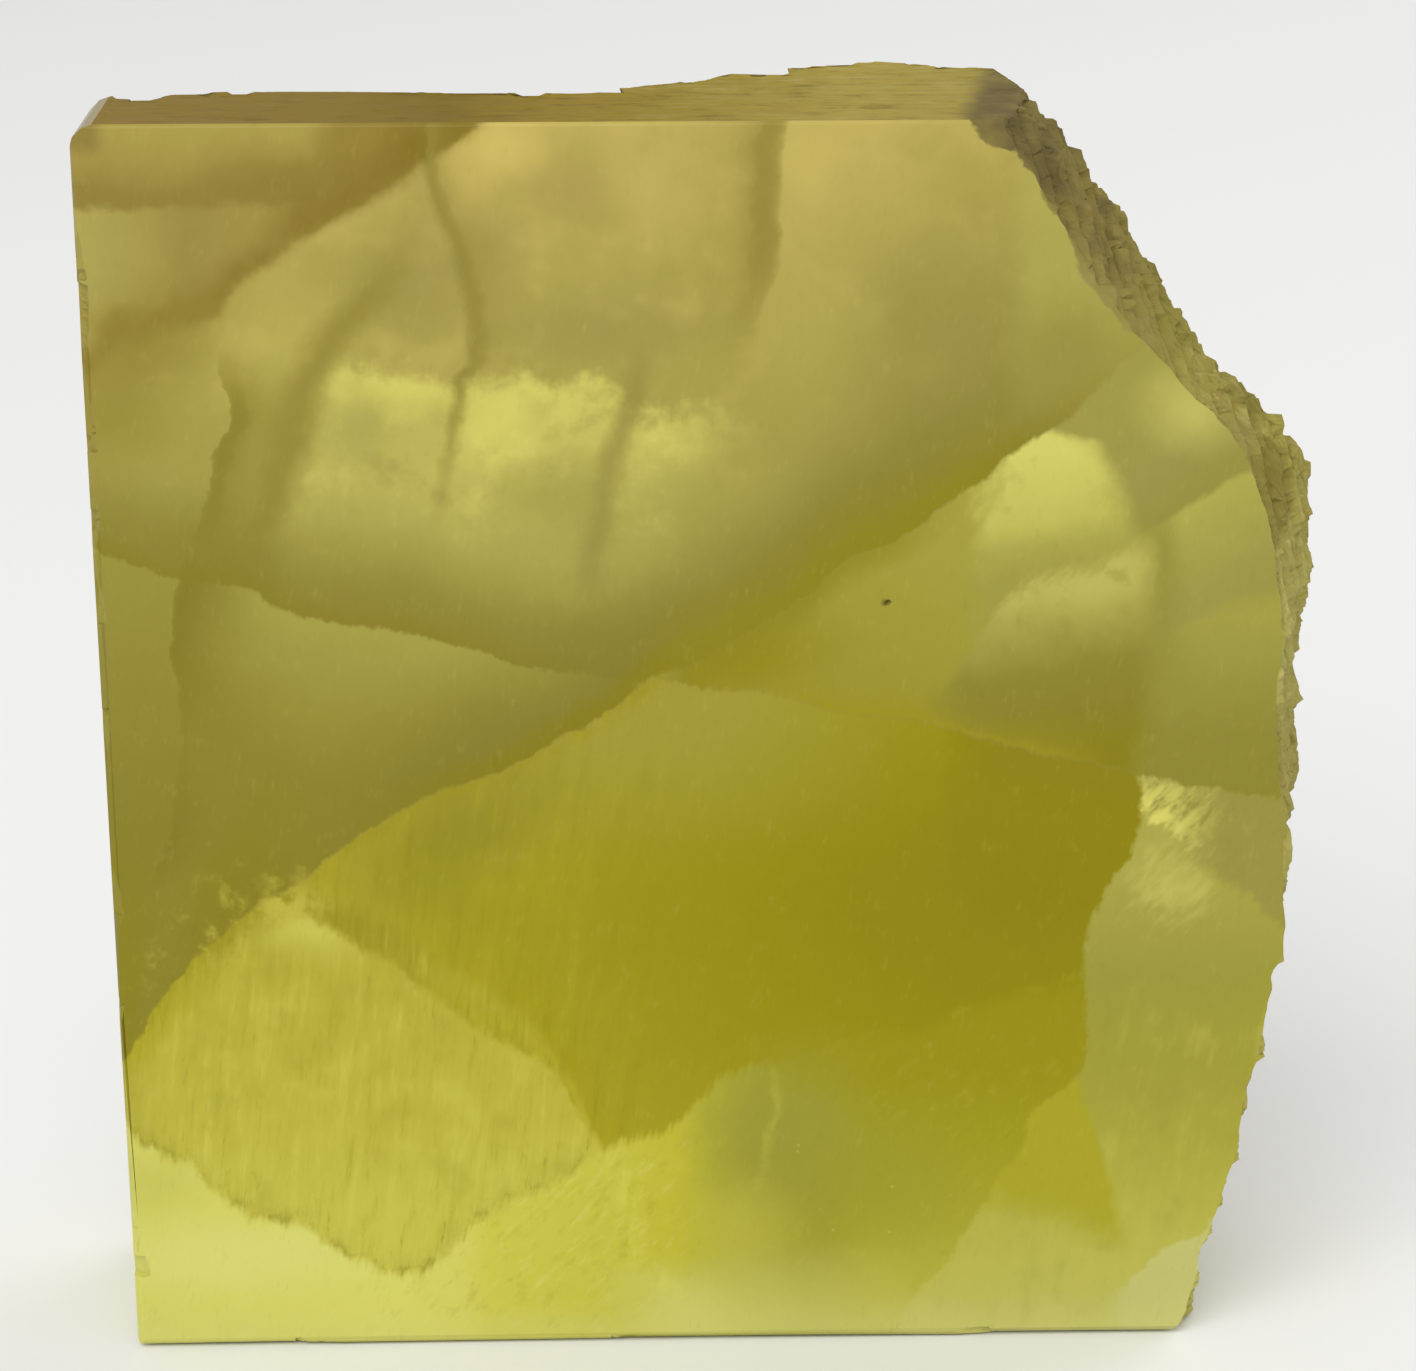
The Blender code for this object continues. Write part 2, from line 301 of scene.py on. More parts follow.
def saw_lines(point):
    """How far the rough sawn top lies below its flat at a design point."""
    lines = noise.fractal(
        Vector((point.x * SAW_LINE_STRETCH[0], point.y * SAW_LINE_STRETCH[1], 0.0)), 0.8, 2.0, 3
    )
    near = noise.voronoi(Vector((point.x / TOP_PIT_SIZE[0], point.y / TOP_PIT_SIZE[1], 3.0)))
    open_here = noise.cell(near[1][0] * STEP_SEED) > TOP_UNPITTED
    deep = max(0.0, TOP_PIT_REACH - near[0][0]) / TOP_PIT_REACH if open_here else 0.0
    return SAW_LINE_DEPTH * (1.0 + lines) + TOP_PIT_DEPTH * deep * deep


broken_layer = stone.faces.layers.float["broken"]
cleaved_layer = stone.faces.layers.float.new("cleaved")
top_layer = stone.faces.layers.float.new("sawn_top")
stone.normal_update()
for face in stone.faces:
    on_cleavage = max(face.normal.dot(cleavage) for cleavage in CLEAVAGES) > FACING_IT
    face[cleaved_layer] = 1.0 if face[broken_layer] and on_cleavage else 0.0
    face[top_layer] = 1.0 if not face[broken_layer] and face.normal.dot(TOP_FACING) > FACING_IT else 0.0

for axis, gap in enumerate(SAW_LINE_GAPS):
    facing = Vector((1.0, 0.0, 0.0)) if axis == 0 else Vector((0.0, 1.0, 0.0))
    start, end = stone_low[axis] / MM, stone_high[axis] / MM
    for step in range(1, int((end - start) / gap)):
        top_faces = [face for face in stone.faces if face[top_layer]]
        cut_edges = {edge for face in top_faces for edge in face.edges}
        cut_verts = {vert for face in top_faces for vert in face.verts}
        bmesh.ops.bisect_plane(
            stone,
            geom=[*cut_verts, *cut_edges, *top_faces],
            dist=ON_CUT,
            plane_co=facing * (start + step * gap) * MM,
            plane_no=facing,
        )
for _ in range(BREAK_PASSES):
    long_edges = [
        edge for edge in stone.edges
        if edge.calc_length() > BREAK_GRAIN * MM and any(face[broken_layer] for face in edge.link_faces)
    ]
    if not long_edges:
        break
    bmesh.ops.subdivide_edges(stone, edges=long_edges, cuts=1, use_grid_fill=False)
    bmesh.ops.triangulate(stone, faces=[face for face in stone.faces if face[broken_layer]])
stone.normal_update()
moves = []
for vert in stone.verts:
    point = to_design(vert.co)
    if all(face[top_layer] for face in vert.link_faces):
        moves.append((vert, -TOP_FACING * saw_lines(point) * MM))
        continue
    share = sum(face[broken_layer] for face in vert.link_faces) / len(vert.link_faces)
    if share == 0.0:
        continue
    cleaved = sum(face[cleaved_layer] for face in vert.link_faces) / len(vert.link_faces)
    move = vert.normal * fine_break(point)
    if any(face[broken_layer] == 1.0 for face in vert.link_faces):
        move += to_terrace(point, vert.normal)
    move *= 1.0 - (1.0 - CLEAVED_SHARE) * cleaved
    for distance, facing in zip(flat_distances(point), FLAT_FACINGS):
        outward = move.dot(facing)
        if distance < ON_FLAT:
            move -= facing * outward
        elif outward > distance / 2:
            move -= facing * (outward - distance / 2)
    moves.append((vert, move * MM))
for vert, move in moves:
    vert.co += move
stone.normal_update()
for face in stone.faces:
    distances = zip(*(flat_distances(to_design(vert.co)) for vert in face.verts))
    face.smooth = min(max(values) for values in distances) > ON_FLAT
for edge in stone.edges:
    edge.smooth = edge.calc_face_angle(0.0) < SHARP
stone.to_mesh(stone_data)
stone.free()
stone_data.validate()


# The stone's body colour. Lemon calcite is a milky yellow crystal: browner near the top, where
# iron has stained it, olive in its deep clear heart, and a pale green yellow at the foot. Cracks
# that healed inside it show as dark veils, sharp along one side and fading away on the other.


class Shade:
    """One socket of the stone's shader, so that its maths can be written as plain Python."""

    tree = None

    def __init__(self, socket):
        self.socket = socket

    @classmethod
    def node(cls, kind, settings=None, sockets=None, output=0):
        """Adds a node: its settings are set first, then its sockets get values or links."""
        made = cls.tree.nodes.new(kind)
        for name, value in (settings or {}).items():
            if name == "stops":
                ramp = made.color_ramp
                while len(ramp.elements) < len(value):
                    ramp.elements.new(0.5)
                for element, (position, colour) in zip(ramp.elements, value):
                    element.position = position
                    element.color = colour
            elif name == "points":
                made.mapping.extend = "HORIZONTAL"
                curve = made.mapping.curves[0]
                while len(curve.points) < len(value):
                    curve.points.new(0.5, 0.5)
                for point, place in zip(curve.points, value):
                    point.location = place
                    point.handle_type = "AUTO_CLAMPED"
                made.mapping.update()
            else:
                setattr(made, name, value)
        for name, value in (sockets or {}).items():
            if isinstance(value, Shade):
                cls.tree.links.new(value.socket, made.inputs[name])
            else:
                made.inputs[name].default_value = value
        return cls(made.outputs[output])

    def maths(self, operation, *others):
        sockets = dict(enumerate((self, *others)))
        return self.node("ShaderNodeMath", {"operation": operation}, sockets)

    def __add__(self, other):
        return self.maths("ADD", other)

    def __radd__(self, other):
        return self.maths("ADD", other)

    def __sub__(self, other):
        return self.maths("SUBTRACT", other)

    def __rsub__(self, other):
        return self.maths("MULTIPLY_ADD", -1.0, other)

    def __mul__(self, other):
        return self.maths("MULTIPLY", other)

    def __rmul__(self, other):
        return self.maths("MULTIPLY", other)

    def __truediv__(self, other):
        return self.maths("DIVIDE", other)

    def __neg__(self):
        return self.maths("MULTIPLY", -1.0)

    def at_least(self, other):
        return self.maths("MAXIMUM", other)

    def rises(self, start, end, most=1.0):
        """Eases from 0 to the most as the value goes from start to end; end may be the lower."""
        settings = {"interpolation_type": "SMOOTHSTEP", "clamp": False}
        sockets = {"Value": self, "From Min": start, "From Max": end, "To Max": most}
        return self.node("ShaderNodeMapRange", settings, sockets)

    def share_of(self, start, end):
        """0 at the start and 1 at the end, and in proportion elsewhere."""
        sockets = {"Value": self, "From Min": start, "From Max": end}
        return self.node("ShaderNodeMapRange", {"clamp": False}, sockets)

    def within(self, start, end, soft):
        """1 between the start and the end, with soft ends."""
        return self.rises(start - soft, start + soft) * self.rises(end + soft, end - soft)

    def bell(self, width, most=1.0):
        """The most where the value is 0, falling off softly to each side."""
        return self.maths("ABSOLUTE").rises(width * 1.7, 0.0, most)

    def trails(self, reach, most=1.0, soft=0.25):
        """0 below 0, then at once the most, fading as the value grows past it."""
        length = soft + 3.0 * reach
        share = self.share_of(-soft, length)
        points = [(0.0, 0.0), (2.0 * soft / (length + soft), most)]
        for step in (0.4, 0.9, 1.6, 2.3):
            points.append(((2.0 * soft + step * reach) / (length + soft), most * math.exp(-step)))
        return self.node("ShaderNodeFloatCurve", {"points": [*points, (1.0, 0.0)]}, {"Value": share})


def srgb(text):
    """A colour as the shader takes it, from its usual six digits."""
    parts = [int(text[i : i + 2], 16) / 255.0 for i in (0, 2, 4)]
    linear = [p / 12.92 if p <= 0.04045 else ((p + 0.055) / 1.055) ** 2.4 for p in parts]
    return (*linear, 1.0)


def blend(first, second, share):
    """Goes from the first colour to the second, which may be its six digits, by share."""
    second = srgb(second) if isinstance(second, str) else second
    settings = {"data_type": "RGBA"}
    return Shade.node("ShaderNodeMix", settings, {0: share, 6: first, 7: second}, output=2)


def ramp(value, stops):
    """A colour along a value, from stops of (value, colour)."""
    low, high = stops[0][0], stops[-1][0]
    spread = [((at - low) / (high - low), srgb(colour)) for at, colour in stops]
    return Shade.node("ShaderNodeValToRGB", {"stops": spread}, {0: value.share_of(low, high)})


calcite = bpy.data.materials.new("lemon_calcite_finish")
calcite.use_nodes = True
Shade.tree = calcite.node_tree
shader = calcite.node_tree.nodes["Principled BSDF"]

object_place = Shade.node("ShaderNodeTexCoord", output=3)
shift = [-value / MM for value in ORIGIN]
place = Shade.node(
    "ShaderNodeMapping", sockets={"Vector": object_place, "Location": shift, "Scale": (1 / MM,) * 3}
)
x, y, z = [Shade.node("ShaderNodeSeparateXYZ", sockets={0: place}, output=i) for i in range(3)]


def stretched(x=1.0, y=1.0, z=1.0, turn=0.0):
    """The place, stretched for a pattern: a factor over 1 makes the pattern finer that way."""
    turned = place
    if turn:
        turned = Shade.node("ShaderNodeMapping", sockets={"Vector": place, "Rotation": (0.0, turn, 0.0)})
    return Shade.node("ShaderNodeVectorMath", {"operation": "MULTIPLY"}, {0: turned, 1: (x, y, z)})


def grain(vector, size, detail=2.0, roughness=0.5):
    """Soft noise from -1 to 1 with lumps of about this size."""
    sockets = {"Vector": vector, "Scale": 1.0 / size, "Detail": detail, "Roughness": roughness}
    return Shade.node("ShaderNodeTexNoise", sockets=sockets).maths("MULTIPLY_ADD", 2.0, -1.0)


fine = grain(place, 1.6)
clouds = grain(place, 15.0, roughness=0.55)
puffs = grain(place, 5.5, roughness=0.6)
milk = grain(place, 2.4, detail=3.0, roughness=0.65)
fibres = grain(stretched(y=0.5, z=0.11, turn=math.radians(-6.0)), 0.7, roughness=0.68)
streaks = grain(stretched(y=0.5, z=0.17, turn=math.radians(-11.0)), 1.6, detail=3.0, roughness=0.62)
dashes = grain(stretched(y=0.5, z=0.3, turn=math.radians(-9.0)), 0.42, detail=1.0)
strokes = grain(stretched(y=0.5, z=0.32, turn=math.radians(-42.0)), 0.8, roughness=0.6)

# Each crack runs on into the stone, dipping as it goes back, and wavers at every size.
WAVER, WAVER_SIZE = 3.2, 6.5
DIP_X, DIP_Z = 0.22, 0.28
noise_sockets = {"Vector": place, "Scale": 1.0 / WAVER_SIZE, "Detail": 4.0, "Roughness": 0.62}
wavers = Shade.node("ShaderNodeTexNoise", sockets=noise_sockets, output=1)
warp_sockets = {0: wavers, 1: (WAVER, 0.0, WAVER), 2: place}
wavered = Shade.node("ShaderNodeVectorMath", {"operation": "MULTIPLY_ADD"}, warp_sockets)
wavered_x, wavered_z = [Shade.node("ShaderNodeSeparateXYZ", sockets={0: wavered}, output=i) for i in (0, 2)]
line_x = wavered_x - WAVER / 2 - y * DIP_X
line_z = wavered_z - WAVER / 2 - y * DIP_Z
face_place = Shade.node("ShaderNodeCombineXYZ", sockets={0: line_x, 2: line_z})
ragged = fibres * 1.3 + fine * 0.5
SPAN = 60.0
LIFT = 120.0
share_across = (line_x + SPAN) / (2 * SPAN)
share_up = line_z / LIFT


def height_of(points):
    """The height of a crack that runs across the stone, at this place."""
    spread = [((at + SPAN) / (2 * SPAN), up / LIFT) for at, up in points]
    return Shade.node("ShaderNodeFloatCurve", {"points": spread}, {"Value": share_across}) * LIFT


def side_of(points):
    """How far across a crack that runs down the stone lies, at this place."""
    spread = sorted((up / LIFT, (at + SPAN) / (2 * SPAN)) for at, up in points)
    share = Shade.node("ShaderNodeFloatCurve", {"points": spread}, {"Value": share_up})
    return share.maths("MULTIPLY_ADD", 2 * SPAN, -SPAN)


def over(points, torn=None):
    """How far above a crack across the stone this place is. Torn cracks are ragged."""
    height = line_z + torn if torn else line_z
    return height - height_of(points)


def past(points, torn=None):
    """How far to the right of a crack down the stone this place is."""
    side = line_x + torn if torn else line_x
    return side - side_of(points)


def spot(at, up, wide, high, most=1.0, turn=0.0):
    """The most at a point on the face, fading to 0 past an oval round it."""
    if turn:
        cos, sin = math.cos(turn), math.sin(turn)
        settings = {"operation": "SUBTRACT"}
        near = Shade.node("ShaderNodeVectorMath", settings, {0: face_place, 1: (at, 0.0, up)})
        ways = [(cos / wide, 0.0, sin / wide), (-sin / high, 0.0, cos / high)]
        settings = {"operation": "DOT_PRODUCT"}
        along, aside = [
            Shade.node("ShaderNodeVectorMath", settings, {0: near, 1: way}, output=1) for way in ways
        ]
        away = Shade.node("ShaderNodeCombineXYZ", sockets={0: along, 2: aside})
    else:
        scale, start = (1.0 / wide, 0.0, 1.0 / high), (-at / wide, 0.0, -up / high)
        settings = {"operation": "MULTIPLY_ADD"}
        away = Shade.node("ShaderNodeVectorMath", settings, {0: face_place, 1: scale, 2: start})
    far = Shade.node("ShaderNodeVectorMath", {"operation": "LENGTH"}, {0: away}, output=1)
    return far.rises(1.8, 0.0, most)


def patches(base, rows):
    """Lays spots on a colour, from rows of (colour, at, up, wide, high, most)."""
    for tone, *oval in rows:
        base = blend(base, tone, spot(*oval))
    return base


MILKY = "D6CC6A"
STRAW = "BEAC5E"
SAND = "A5984C"
OLIVE = "877B20"
UMBER = "836F2A"
GOLD = "9A8F24"

MAIN = [
    (-60.0, 22.0), (-56.1, 27.9), (-50.6, 35.4), (-43.3, 43.2), (-38.6, 46.2), (-30.1, 52.2),
    (-24.6, 55.1), (-13.5, 60.0), (-6.2, 64.9), (1.1, 68.6), (8.4, 73.2), (12.0, 76.4),
    (20.9, 81.2), (26.3, 85.3), (31.6, 89.1), (38.6, 96.3), (48.0, 106.0), (60.0, 116.0),
]
ARC = [
    (-60.0, 81.0), (-55.6, 79.0), (-47.2, 75.8), (-41.9, 74.8), (-37.5, 72.9), (-33.9, 71.9),
    (-25.9, 70.4), (-16.9, 67.4), (-7.9, 65.8), (-0.7, 65.4), (8.3, 63.4), (12.8, 62.4),
    (17.4, 61.4), (22.1, 60.4), (28.1, 58.9), (34.0, 57.6), (39.5, 56.3), (44.0, 55.1),
    (48.9, 54.1), (60.0, 52.5),
]
SHELF = [
    (-60.0, 97.0), (-36.0, 94.5), (-31.7, 95.6), (-24.2, 94.9), (-21.0, 93.2), (-18.0, 94.6),
    (-15.4, 94.8), (-12.7, 93.5), (-9.2, 94.2), (-5.7, 91.2), (-0.4, 91.1), (3.2, 91.0),
    (60.0, 90.0),
]
BROWN = [
    (-60.0, 93.0), (-55.0, 94.6), (-51.5, 97.2), (-43.0, 100.4), (-41.1, 102.4), (-36.1, 106.3),
    (-31.6, 108.9), (-26.7, 111.5), (-22.2, 114.5), (-17.4, 117.8), (-10.0, 119.9), (60.0, 120.0),
]
THIN = [
    (-24.0, 120.0), (-23.4, 112.8), (-22.4, 108.4), (-21.1, 104.6), (-20.0, 101.2), (-19.9, 95.7),
    (-21.3, 93.5), (-22.2, 88.5), (-23.7, 83.0), (-25.2, 77.4), (-26.0, 0.0),
]
UPRIGHT = [
    (7.2, 120.0), (6.9, 116.3), (6.4, 109.7), (6.0, 104.4), (5.0, 100.8), (3.7, 96.8),
    (2.7, 91.8), (2.0, 0.0),
]
FAINT = [
    (-4.0, 120.0), (-5.6, 94.6), (-7.0, 90.1), (-8.4, 86.4), (-9.4, 80.9), (-10.5, 75.3),
    (-12.0, 0.0),
]
LEFT_BAND = [
    (-43.0, 120.0), (-42.8, 99.0), (-42.0, 94.0), (-41.4, 91.5), (-43.3, 87.8), (-45.2, 81.4),
    (-47.4, 74.9), (-48.1, 69.3), (-48.0, 62.6), (-49.3, 52.0), (-51.5, 46.2), (-54.0, 0.0),
]
CURVED = [
    (-24.0, 120.0), (-26.4, 106.6), (-31.5, 99.5), (-34.8, 95.0), (-36.7, 90.5), (-38.9, 83.0),
    (-41.3, 77.6), (-44.0, 0.0),
]
SKIN = [
    (22.0, 120.0), (22.9, 117.3), (23.9, 115.8), (24.8, 115.1), (26.4, 114.5), (27.8, 113.1),
    (29.2, 111.3), (29.8, 109.8), (30.4, 108.5), (31.6, 106.9), (32.7, 104.5), (33.6, 102.1),
    (35.0, 100.4), (36.6, 98.7), (38.1, 97.3), (48.0, 94.0), (56.0, 90.0), (58.0, 0.0),
]
RIDGE = [
    (50.0, 120.0), (30.0, 95.0), (28.5, 90.0), (31.8, 88.1), (33.6, 87.4), (35.4, 86.1), (36.4, 83.8),
    (37.4, 81.0), (39.1, 78.9), (39.9, 75.0), (40.0, 68.9), (39.7, 56.5), (39.0, 0.0),
]
LOBE_TOP = [
    (-60.0, 20.0), (14.0, 54.0), (19.3, 63.3), (21.3, 65.3), (23.2, 67.8), (25.4, 70.9),
    (27.0, 73.2), (28.6, 74.4), (31.5, 75.2), (33.5, 75.9), (35.7, 76.5), (38.4, 78.1),
    (44.0, 83.0), (60.0, 94.0),
]
STEP = [(-60.0, 40.0), (38.0, 66.0), (42.2, 69.5), (45.2, 71.6), (46.8, 72.1), (60.0, 74.0)]
KITE_LEFT = [
    (-60.0, 22.0), (-53.1, 30.4), (-50.7, 33.2), (-47.7, 36.4), (-44.8, 40.4), (-41.0, 43.6),
    (-36.0, 46.0), (60.0, 80.0),
]
KITE_TOP = [
    (-60.0, 60.0), (-39.1, 44.6), (-32.4, 40.5), (-28.8, 38.0), (-21.6, 31.9), (-15.6, 28.8),
    (-12.5, 23.7), (-10.7, 19.7), (-8.0, 8.0), (60.0, 0.0),
]
KITE_RIM = [
    (-60.0, 62.0), (-38.6, 46.4), (-34.1, 44.5), (-30.5, 43.0), (-26.0, 39.9), (-21.5, 36.4),
    (-17.8, 33.9), (-14.2, 28.8), (-11.6, 23.7), (-10.0, 19.0), (60.0, 0.0),
]
FOOT = [
    (-60.0, 26.0), (-54.1, 21.8), (-51.0, 19.2), (-48.2, 17.7), (-45.6, 14.6), (-39.1, 12.1),
    (-35.4, 9.8), (-29.9, 7.1), (-26.0, 8.8), (-22.1, 12.9), (-14.5, 16.6), (-10.7, 19.7),
    (-3.2, 22.6), (0.6, 26.6), (7.1, 28.3), (14.0, 29.0), (60.0, 30.0),
]
HEART_LINE = [
    (-60.0, 18.0), (7.1, 28.3), (12.7, 30.4), (17.4, 31.3), (22.9, 33.3), (31.2, 35.6), (60.0, 43.0),
]
COLUMN = [
    (40.2, 120.0), (39.7, 56.5), (38.9, 50.7), (37.5, 46.9), (35.7, 43.9), (34.4, 39.0),
    (34.5, 34.1), (35.0, 31.1), (33.7, 26.6), (30.4, 23.1), (27.7, 17.5), (24.4, 13.0),
    (23.0, 9.9), (17.4, 2.2), (16.0, 0.0),
]
FAN_FOOT = [
    (-60.0, 70.0), (38.0, 53.0), (40.3, 51.4), (43.0, 50.1), (44.1, 48.1), (47.0, 45.8),
    (49.2, 44.3), (51.3, 42.3), (60.0, 36.0),
]
BAND = [
    (-11.4, 120.0), (-11.0, 20.0), (-10.2, 18.9), (-8.4, 16.8), (-8.1, 12.7), (-7.6, 9.0),
    (-6.2, 7.2), (-3.6, 4.0), (-2.4, 0.0),
]
LIT_CRACK = [
    (5.6, 120.0), (5.6, 27.3), (5.9, 25.0), (5.7, 23.0), (4.9, 20.6), (5.0, 18.3), (4.6, 16.6),
    (4.2, 14.8), (4.0, 0.0),
]

main = over(MAIN, torn=ragged * 0.3) * 0.84
arc = over(ARC, torn=ragged * 0.38)
shelf = over(SHELF, torn=ragged * 0.5 + puffs * 1.2)
brown = over(BROWN) * 0.85
above_main = main.rises(-0.3, 0.3)
above_arc = arc.rises(-0.3, 0.3)
below_main = 1.0 - above_main
below_arc = 1.0 - above_arc

# Above the main crack: straw yellow, darker towards the crack, with soft milky clouds.
drift = z + clouds * 5.0 + puffs * 2.0
colour = ramp(drift, [
    (44.0, "8B812F"), (60.0, "8E8434"), (72.0, "968C3F"), (82.0, "9F9549"), (92.0, "A4984B"),
    (100.0, "A99B4F"), (108.0, "B0A054"), (118.0, "B9A85A"),
])
colour = blend(colour, STRAW, puffs.rises(0.0, 0.35, 0.55) * z.rises(86.0, 100.0))
colour = blend(colour, SAND, puffs.rises(0.0, -0.35, 0.55) * z.rises(80.0, 96.0))
colour = patches(colour, [
    (STRAW, 11.0, 110.5, 10.0, 9.0, 0.6), ("C4B260", 9.3, 113.2, 2.6, 3.2, 0.7),
])
colour = blend(colour, "8E843F", line_x.rises(2.0, 22.0, 0.68) * line_z.rises(117.5, 96.5))
colour = patches(colour, [
    ("A29449", 24.5, 111.5, 3.8, 5.0, 0.45), ("A08F4B", -11.5, 111.0, 4.6, 4.0, 0.6),
    ("BFAE60", -3.8, 111.0, 3.6, 4.0, 0.5), ("978B48", -9.0, 98.4, 8.0, 3.2, 0.6),
    ("B0A354", 9.0, 97.8, 5.5, 6.0, 0.55), ("CDB964", -17.8, 114.8, 3.8, 2.6, 0.8),
    ("C4AF5F", -20.3, 112.0, 1.9, 2.6, 0.8), ("A3934C", -24.2, 111.2, 2.4, 2.6, 0.5),
    ("9D8D4C", -20.5, 105.0, 4.0, 5.0, 0.65), ("9F9248", -31.0, 103.4, 4.0, 3.4, 0.6),
    ("B8AB57", -37.5, 97.0, 5.5, 5.5, 0.6), ("988B47", -25.5, 103.0, 3.6, 4.6, 0.7),
])

# Between the shelf and the arc the grain is coarse and milky, and lets the most light through.
below_shelf = -shelf
past_curved = past(CURVED)
field = ramp(below_shelf + puffs * 5.0, [
    (-2.0, "D4CB67"), (5.0, "C6BC61"), (10.0, "B9AF5A"), (16.0, "ABA252"), (24.0, "A0984A"),
])
field = blend(field, MILKY, (milk + puffs).rises(0.0, 0.55, 0.8) * below_shelf.rises(16.0, 2.0))
field = blend(field, "A0964A", (milk * 0.4 + puffs).rises(0.0, -0.5, 0.7))
field = blend(field, "9A9247", line_x.rises(-15.0, 1.0, 0.75) * below_shelf.rises(1.0, 10.0))
field = blend(field, "DAD16A", spot(-18.3, 90.2, 4.6, 3.4, 0.75) + spot(-28.0, 92.6, 3.0, 2.0, 0.5))
field = patches(field, [
    ("A59C50", -31.0, 89.5, 4.0, 3.4, 0.8), ("AEA554", -24.5, 89.0, 2.6, 3.0, 0.6),
    ("A8A04E", -15.5, 83.0, 3.0, 2.2, 0.8),
])
in_field = (below_shelf + milk * 1.8).rises(-1.1, 1.8, 0.92) * past_curved.rises(0.4, 4.4)
colour = blend(colour, field, in_field * line_x.rises(6.5, -5.5))

# The top left block, and the paler stone under it.
left_of_band = brown.rises(-0.3, 0.6)
under_block = ramp(line_x, [
    (-56.0, "ABA055"), (-48.0, "A0914A"), (-45.5, "988743"), (-36.0, "A08E47"), (-33.0, "917E38"),
])
colour = blend(colour, under_block, left_of_band * line_z.rises(99.0, 103.0))
block = (line_z + milk * 0.9).rises(109.3, 110.5) * line_x.rises(-31.0, -35.0)
block_colour = ramp(line_z + puffs, [
    (109.8, "8D7B39"), (111.5, "907E3C"), (114.0, "A08E46"), (116.5, "A7974B"),
])
colour = blend(colour, block_colour, block)
worn_corner = x.rises(-51.4, -53.2) * z.rises(113.8, 115.8)
colour = blend(colour, "86733A", worn_corner * 0.75)
colour = blend(colour, "8A7733", spot(-36.0, 112.4, 6.5, 2.2, 0.75))

# The umber band below them, the darkest stain in the stone.
band_width = line_x.rises(-33.0, -24.0, 2.0) + 2.2
in_band = (brown + milk * 0.8).rises(-1.1, 1.5, 0.9) * ((brown + puffs * 2.4) / band_width).rises(1.8, 0.1)
colour = blend(colour, UMBER, in_band)
colour = blend(colour, "7F6B24", spot(-22.5, 115.6, 3.6, 1.8, 0.8, turn=0.7) * left_of_band)
colour = blend(colour, "8D7D34", spot(-50.5, 97.0, 8.0, 4.4, 0.75, turn=0.45))
colour = blend(colour, "938539", spot(-53.0, 90.5, 5.0, 3.4, 0.75))

# The veils that run down the stone.
left_band = past(LEFT_BAND)
colour = blend(colour, "85782C", left_band.trails(3.0, 0.85) * line_z.within(47.0, 95.0, 4.0))
colour = blend(colour, "8C8036", left_band.trails(9.0, 0.35) * line_z.within(50.0, 82.0, 5.0))
colour = blend(colour, "8A7D30", spot(-46.0, 77.5, 3.4, 3.6, 0.7))
curved_veil = (past_curved + puffs * 1.6).bell(2.0, 0.82)
colour = blend(colour, "908238", curved_veil * line_z.within(78.0, 105.0, 5.0))
past_thin = past(THIN)
colour = blend(colour, "85772F", past_thin.bell(0.7, 0.6) * line_z.rises(78.0, 92.0))
colour = blend(colour, "93863C", past_thin.trails(1.8, 0.55) * line_z.rises(84.0, 98.0))
before_upright = puffs * 1.6 - past(UPRIGHT)
colour = blend(colour, "8F8038", before_upright.trails(3.3, 0.88, soft=0.9) * line_z.rises(92.0, 106.0))
colour = blend(colour, "918540", past(FAINT).bell(1.3, 0.72) * line_z.within(75.0, 95.0, 4.0))
colour = blend(colour, "9C9348", spot(-11.8, 83.0, 3.2, 4.0, 0.6))

# The dark above the arc and above the main crack, wide and soft, with a clear olive line.
left_of_crossing = line_x.rises(6.0, -6.0)
colour = blend(colour, "897E33", arc.rises(11.5, 1.0, 0.9) * above_arc * left_of_crossing)
colour = blend(colour, "877B28", arc.rises(2.4, 0.0, 0.6) * above_arc * left_of_crossing)
left_wedge = below_arc * above_main * line_x.rises(2.0, -3.0)
colour = blend(colour, ramp(-arc + clouds * 2.0, [
    (0.0, "A29A47"), (4.0, "9D9444"), (9.0, "958B3A"), (16.0, "8B8130"), (26.0, "897E28"),
]), left_wedge * left_band.rises(1.0, 8.0))
colour = blend(colour, "82782B", left_band.trails(3.4, 0.88) * line_z.within(49.0, 77.0, 3.0))
colour = blend(colour, "8C8233", spot(-46.0, 60.0, 3.8, 7.0, 0.75))
colour = blend(colour, ramp(line_z, [
    (40.0, "8A8028"), (52.0, "887E2F"), (66.0, "8F8538"), (79.0, "988F40"),
]), below_arc * left_band.rises(0.3, -0.8) * above_main)
near_main = main.rises(12.5, 1.5, 0.92) * (1.0 - line_x.rises(18.0, 30.0, 0.4))
colour = blend(colour, "857B31", near_main * above_main * line_x.rises(-44.0, -20.0))
close_to_main = main.rises(3.0, 0.3, 0.88) * (1.0 - line_x.rises(22.0, 32.0, 0.45))
colour = blend(colour, OLIVE, close_to_main * above_main * line_x.rises(-40.0, -16.0))
colour = blend(colour, "8F8521", main.rises(7.0, 0.5, 0.6) * line_x.within(-4.0, 26.0, 5.0) * above_main)
pale_side = (line_x + puffs * 1.5).rises(25.6, 30.0, 0.75) * line_z.rises(86.0, 101.0) * above_main
colour = blend(colour, "ACA453", pale_side)
colour = blend(colour, "948A40", spot(32.0, 96.0, 5.0, 4.0, 0.8) * above_main)

